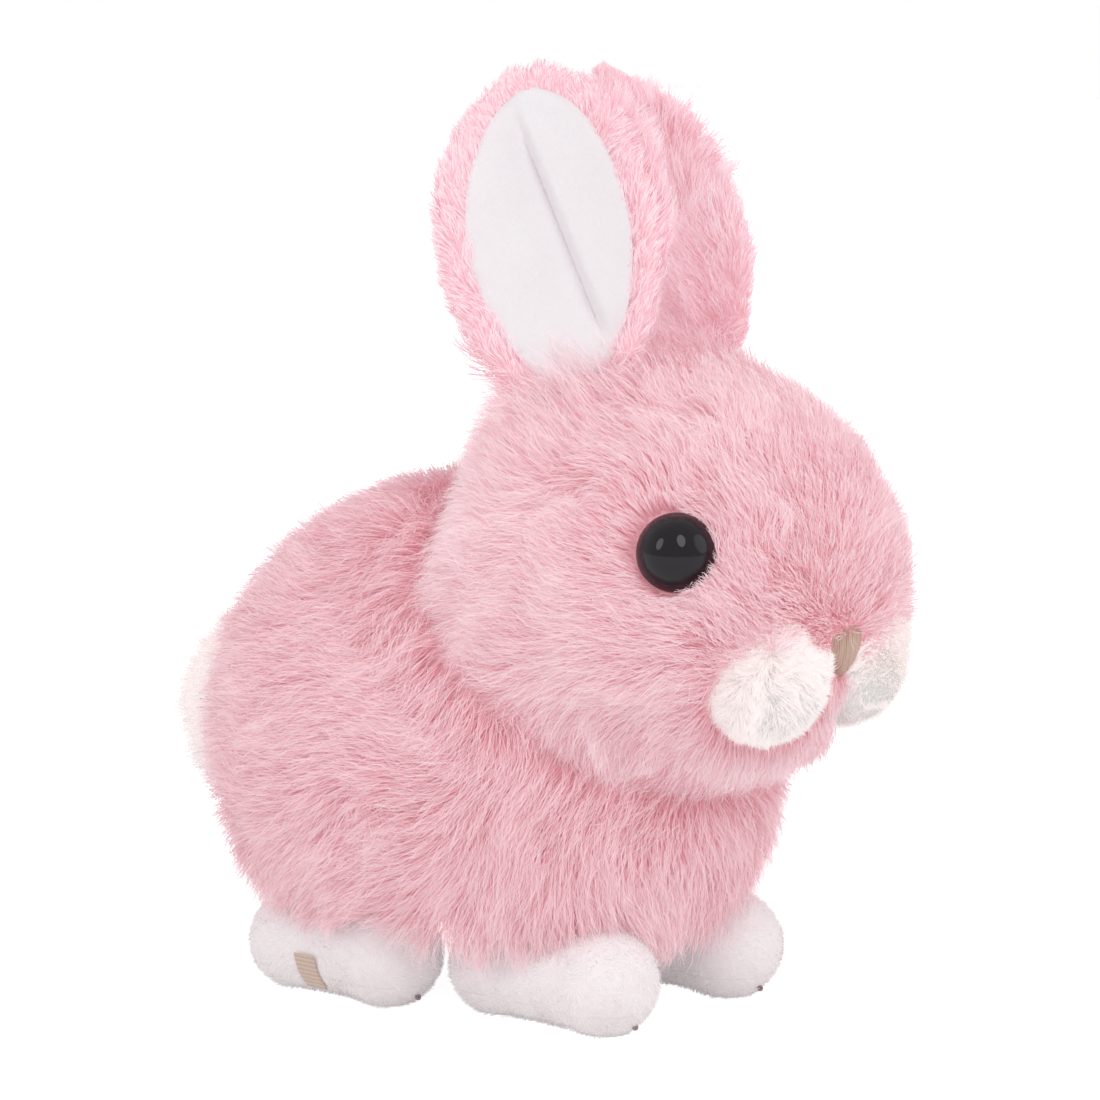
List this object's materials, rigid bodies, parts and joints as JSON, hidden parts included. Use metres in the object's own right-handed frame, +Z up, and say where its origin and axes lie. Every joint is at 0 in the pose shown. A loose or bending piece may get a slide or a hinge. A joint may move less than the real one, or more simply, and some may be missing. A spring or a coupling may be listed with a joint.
{
  "type": "plush rabbit",
  "caption": "Sitting stuffed rabbit of long-pile fur with upright lined ears, dome eyes, white muzzle puffs, velour paws and a round tail.",
  "frame": {"origin": "on the surface the paws stand on, below the middle of the overall box in X and Y", "axes": "+Z up, the rabbit looks along -Y, and its own left side is +X"},
  "size_m": [0.096, 0.1722, 0.1872],
  "materials": {
    "pink_fur": "long soft pile",
    "white_fur": "fluffy pile",
    "velour": "short brushed pile",
    "stuffing": "loose polyester fibre",
    "bag_cloth": "plain woven cotton",
    "pellets": "smooth beads",
    "eye_plastic": "polished",
    "washer_plastic": "moulded",
    "nose_thread": "satin stitch",
    "knot_thread": "knotted thread",
    "ribbon": "woven satin, bare"
  },
  "bodies": {
    "body": {"body_side_left": "pink_fur", "body_side_right": "pink_fur", "belly_panel": "velour", "body_stuffing": "stuffing", "weight_bag": "bag_cloth", "weight_pellets": "pellets", "tail_cover": "white_fur", "tail_stuffing": "stuffing", "front_paw_left_cover": "velour", "front_paw_left_sole": "velour", "front_paw_left_stuffing": "stuffing", "front_paw_right_cover": "velour", "front_paw_right_sole": "velour", "front_paw_right_stuffing": "stuffing", "hind_paw_left_cover": "velour", "hind_paw_left_sole": "velour", "hind_paw_left_stuffing": "stuffing", "hind_paw_right_cover": "velour", "hind_paw_right_sole": "velour", "hind_paw_right_stuffing": "stuffing", "toe_knots": "knot_thread", "foot_ribbon": "ribbon"},
    "neck": {"neck_stuffing": "stuffing"},
    "head": {"head_side_left": "pink_fur", "head_side_right": "pink_fur", "head_gusset": "pink_fur", "chin_panel": "pink_fur", "head_stuffing": "stuffing", "muzzle_left": "white_fur", "muzzle_right": "white_fur", "muzzle_stuffing_left": "stuffing", "muzzle_stuffing_right": "stuffing", "nose_stitching": "nose_thread", "eye_left": "eye_plastic", "eye_right": "eye_plastic", "eye_washer_left": "washer_plastic", "eye_washer_right": "washer_plastic"},
    "ear_left": {"ear_back_left": "pink_fur", "ear_lining_left": "velour"},
    "ear_right": {"ear_back_right": "pink_fur", "ear_lining_right": "velour"}
  },
  "joints": [
    {"name": "head_turn", "type": "hinge", "parent": "body", "child": "neck", "pos_m": [0, -0.03165, 0.0889], "axis": [0, -0.7255, 0.6882], "range_deg": [-20, 20], "stiffness_Nm_per_rad": 0.6},
    {"name": "head_nod", "type": "hinge", "parent": "neck", "child": "head", "pos_m": [0, -0.03165, 0.0889], "axis": [1, 0, 0], "range_deg": [-9, 6], "stiffness_Nm_per_rad": 1.2},
    {"name": "ear_left_fold", "type": "hinge", "parent": "head", "child": "ear_left", "pos_m": [0.0188, -0.0289, 0.12825], "axis": [0.4514, 0.8489, -0.275], "range_deg": [-6, 60], "stiffness_Nm_per_rad": 0.03},
    {"name": "ear_right_fold", "type": "hinge", "parent": "head", "child": "ear_right", "pos_m": [-0.0188, -0.0289, 0.12825], "axis": [0.4514, -0.8489, 0.275], "range_deg": [-6, 60], "stiffness_Nm_per_rad": 0.03}
  ]
}
